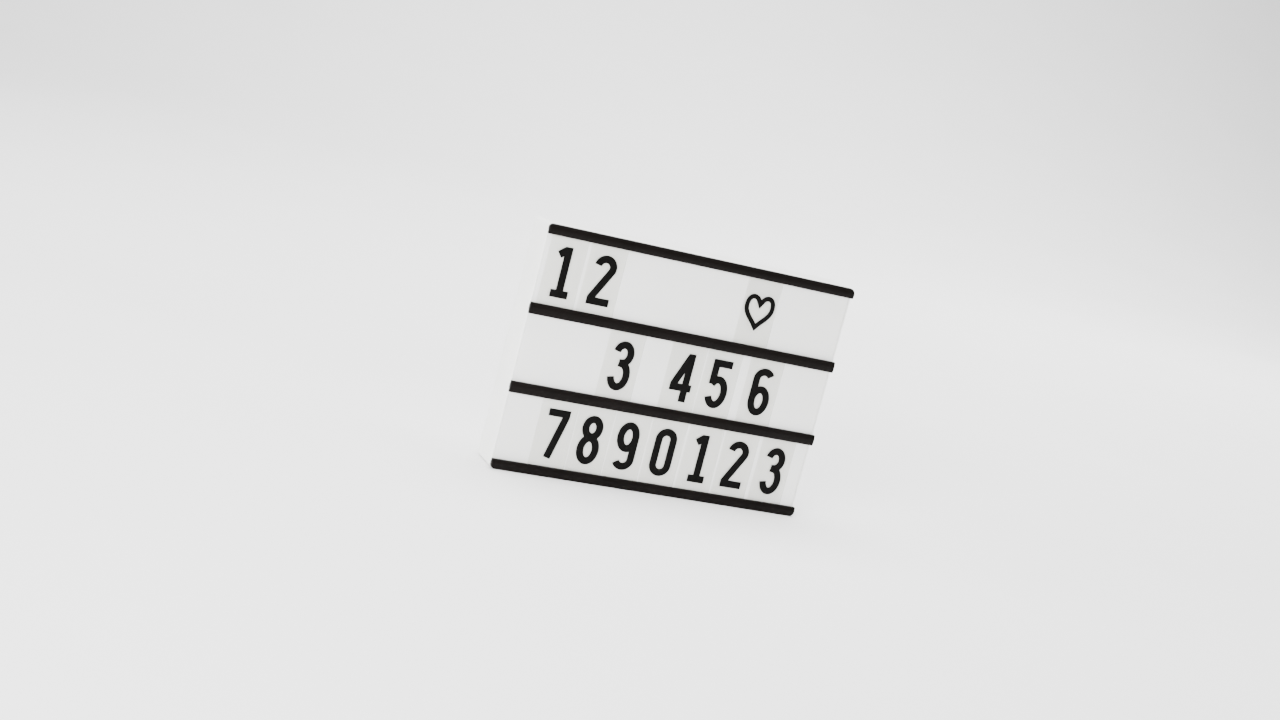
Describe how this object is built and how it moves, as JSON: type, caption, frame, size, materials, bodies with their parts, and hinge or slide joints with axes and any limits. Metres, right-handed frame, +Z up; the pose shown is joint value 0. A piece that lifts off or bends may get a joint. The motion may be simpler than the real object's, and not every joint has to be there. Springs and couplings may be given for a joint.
{
  "type": "cinema light box",
  "caption": "White light box with an opal front panel, black rails and clear cards with plain figures that slide in the rails; battery door, switch and socket at the back.",
  "frame": {"origin": "middle of the bounding box's base, on the surface that the box stands on", "axes": "+X to the right along the rails seen from the front, +Z up, the front faces -Y"},
  "size_m": [0.3, 0.045, 0.22],
  "materials": {
    "white_abs": "white ABS, moulded with a fine matt grain",
    "opal_acrylic": "opal acrylic sheet, smooth, lets light through",
    "black_abs": "black ABS, satin",
    "clear_card": "clear PVC card with a black printed figure",
    "nickel_steel": "nickel-plated spring steel",
    "zinc_steel": "zinc-plated steel",
    "strip_board": "white solder mask with white light-emitting diodes",
    "control_board": "green solder mask",
    "switch_plastic": "black nylon, moulded",
    "red_lead": "red PVC insulation",
    "black_lead": "black PVC insulation"
  },
  "bodies": {
    "housing": {"front_frame": "white_abs", "rear_cover": "white_abs", "battery_bay": "white_abs", "diffuser_panel": "opal_acrylic", "rail_top": "black_abs", "rail_middle_upper": "black_abs", "rail_middle_lower": "black_abs", "rail_bottom": "black_abs", "contact_negative": "nickel_steel", "contact_positive": "nickel_steel", "contact_bridge_1": "nickel_steel", "contact_bridge_2": "nickel_steel", "battery_spring_1": "nickel_steel", "battery_spring_2": "nickel_steel", "battery_spring_3": "nickel_steel", "usb_socket": "nickel_steel", "cover_screw_1": "zinc_steel", "cover_screw_2": "zinc_steel", "cover_screw_3": "zinc_steel", "cover_screw_4": "zinc_steel", "cover_screw_5": "zinc_steel", "cover_screw_6": "zinc_steel", "cover_screw_7": "zinc_steel", "cover_screw_8": "zinc_steel", "led_strip_lower": "strip_board", "led_strip_middle": "strip_board", "led_strip_upper": "strip_board", "control_board": "control_board", "switch_body": "switch_plastic", "battery_lead_positive": "red_lead", "led_lead_lower": "red_lead", "led_lead_middle": "red_lead", "led_lead_upper": "red_lead", "battery_lead_negative": "black_lead"},
    "card_top_1": {"card_top_1": "clear_card"},
    "card_top_2": {"card_top_2": "clear_card"},
    "card_top_3": {"card_top_3": "clear_card"},
    "card_middle_1": {"card_middle_1": "clear_card"},
    "card_middle_2": {"card_middle_2": "clear_card"},
    "card_middle_3": {"card_middle_3": "clear_card"},
    "card_middle_4": {"card_middle_4": "clear_card"},
    "card_bottom_1": {"card_bottom_1": "clear_card"},
    "card_bottom_2": {"card_bottom_2": "clear_card"},
    "card_bottom_3": {"card_bottom_3": "clear_card"},
    "card_bottom_4": {"card_bottom_4": "clear_card"},
    "card_bottom_5": {"card_bottom_5": "clear_card"},
    "card_bottom_6": {"card_bottom_6": "clear_card"},
    "card_bottom_7": {"card_bottom_7": "clear_card"},
    "switch_knob": {"switch_knob": "switch_plastic"},
    "battery_door": {"battery_door": "white_abs"}
  },
  "joints": [
    {"name": "card_top_1_slide", "type": "slide", "parent": "housing", "child": "card_top_1", "axis": [1, 0, 0], "range_m": [-0.005, 0.0028]},
    {"name": "card_top_2_slide", "type": "slide", "parent": "housing", "child": "card_top_2", "axis": [1, 0, 0], "range_m": [-0.0028, 0.1185]},
    {"name": "card_top_3_slide", "type": "slide", "parent": "housing", "child": "card_top_3", "axis": [1, 0, 0], "range_m": [-0.1185, 0.0703]},
    {"name": "card_middle_1_slide", "type": "slide", "parent": "housing", "child": "card_middle_1", "axis": [1, 0, 0], "range_m": [-0.0787, 0.0262]},
    {"name": "card_middle_2_slide", "type": "slide", "parent": "housing", "child": "card_middle_2", "axis": [1, 0, 0], "range_m": [-0.0262, 0.0014]},
    {"name": "card_middle_3_slide", "type": "slide", "parent": "housing", "child": "card_middle_3", "axis": [1, 0, 0], "range_m": [-0.0014, 0.0083]},
    {"name": "card_middle_4_slide", "type": "slide", "parent": "housing", "child": "card_middle_4", "axis": [1, 0, 0], "range_m": [-0.0083, 0.0476]},
    {"name": "card_bottom_1_slide", "type": "slide", "parent": "housing", "child": "card_bottom_1", "axis": [1, 0, 0], "range_m": [-0.0333, 0.0009]},
    {"name": "card_bottom_2_slide", "type": "slide", "parent": "housing", "child": "card_bottom_2", "axis": [1, 0, 0], "range_m": [-0.0009, 0.001]},
    {"name": "card_bottom_3_slide", "type": "slide", "parent": "housing", "child": "card_bottom_3", "axis": [1, 0, 0], "range_m": [-0.001, 0.0014]},
    {"name": "card_bottom_4_slide", "type": "slide", "parent": "housing", "child": "card_bottom_4", "axis": [1, 0, 0], "range_m": [-0.0014, 0.0022]},
    {"name": "card_bottom_5_slide", "type": "slide", "parent": "housing", "child": "card_bottom_5", "axis": [1, 0, 0], "range_m": [-0.0022, 0.002]},
    {"name": "card_bottom_6_slide", "type": "slide", "parent": "housing", "child": "card_bottom_6", "axis": [1, 0, 0], "range_m": [-0.002, 0.0037]},
    {"name": "card_bottom_7_slide", "type": "slide", "parent": "housing", "child": "card_bottom_7", "axis": [1, 0, 0], "range_m": [-0.0037, 0.0147]},
    {"name": "switch_slide", "type": "slide", "parent": "housing", "child": "switch_knob", "axis": [1, 0, 0], "range_m": [0, 0.003]},
    {"name": "battery_door_hinge", "type": "hinge", "parent": "housing", "child": "battery_door", "pos_m": [0, 0.0222, 0.0303], "axis": [-1, 0, 0], "range_deg": [0, 70]}
  ]
}
